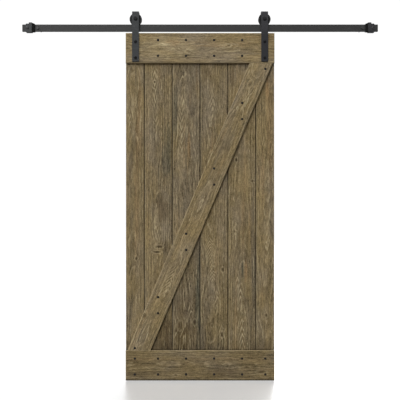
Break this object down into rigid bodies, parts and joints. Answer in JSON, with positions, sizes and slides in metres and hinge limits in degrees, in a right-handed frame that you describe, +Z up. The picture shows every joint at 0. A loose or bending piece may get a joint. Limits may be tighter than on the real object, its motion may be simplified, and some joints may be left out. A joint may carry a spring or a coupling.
{
  "type": "sliding barn door",
  "caption": "Rustic plank door with cross boards and a diagonal brace, hung by bent-strap rollers from a flat steel wall rail with end stops; it slides sideways.",
  "frame": {"origin": "on the wall plane, at the middle of the back face of the rail's left inner spacer, level with the middle of the rail", "axes": "+X along the rail to the right as seen from the room, +Y into the wall, +Z up"},
  "size_m": [2.19, 0.096, 2.2672],
  "materials": {
    "plank_wood": "brushed softwood with a weathered grey-brown stain, matt",
    "board_wood": "brushed softwood with a lighter grey-brown stain, matt",
    "rail_steel": "matt black powder coat",
    "strap_steel": "matt black powder coat",
    "roller_steel": "matt black, turned",
    "fixing_steel": "satin black",
    "bumper_rubber": "matt black rubber"
  },
  "bodies": {
    "track": {"lag_bolt_1": "fixing_steel", "lag_bolt_2": "fixing_steel", "lag_bolt_3": "fixing_steel", "lag_bolt_4": "fixing_steel", "stop_bolt_left": "fixing_steel", "stop_bolt_right": "fixing_steel", "stop_bumper_left": "bumper_rubber", "stop_bumper_right": "bumper_rubber", "stop_left": "strap_steel", "stop_nut_left": "fixing_steel", "stop_nut_right": "fixing_steel", "stop_right": "strap_steel", "track_rail": "rail_steel", "wall_spacer_1": "fixing_steel", "wall_spacer_2": "fixing_steel", "wall_spacer_3": "fixing_steel", "wall_spacer_4": "fixing_steel"},
    "door": {"axle_bolt_left": "fixing_steel", "axle_bolt_right": "fixing_steel", "axle_nut_left": "fixing_steel", "axle_nut_right": "fixing_steel", "bottom_board": "board_wood", "brace": "board_wood", "hanger_strap_left": "strap_steel", "hanger_strap_right": "strap_steel", "plank_1": "plank_wood", "plank_2": "plank_wood", "plank_3": "plank_wood", "plank_4": "plank_wood", "plank_5": "plank_wood", "plank_6": "plank_wood", "strap_bolt_left_lower": "fixing_steel", "strap_bolt_left_upper": "fixing_steel", "strap_bolt_right_lower": "fixing_steel", "strap_bolt_right_upper": "fixing_steel", "strap_nut_left_lower": "fixing_steel", "strap_nut_left_upper": "fixing_steel", "strap_nut_right_lower": "fixing_steel", "strap_nut_right_upper": "fixing_steel", "top_board": "board_wood"},
    "roller_left": {"roller_left": "roller_steel"},
    "roller_right": {"roller_right": "roller_steel"}
  },
  "joints": [
    {"name": "door_slide", "type": "slide", "parent": "track", "child": "door", "axis": [1, 0, 0], "range_m": [-0.588, 0.588]},
    {"name": "roller_left_spin", "type": "hinge", "parent": "door", "child": "roller_left", "pos_m": [0.004, -0.035, 0.0525], "axis": [0, 1, 0], "continuous": true},
    {"name": "roller_right_spin", "type": "hinge", "parent": "door", "child": "roller_right", "pos_m": [0.796, -0.035, 0.0525], "axis": [0, 1, 0], "continuous": true}
  ],
  "couplings": [
    {"joint": "roller_left_spin", "follows": "door_slide", "rad_per_m": 33.333},
    {"joint": "roller_right_spin", "follows": "door_slide", "rad_per_m": 33.333}
  ]
}
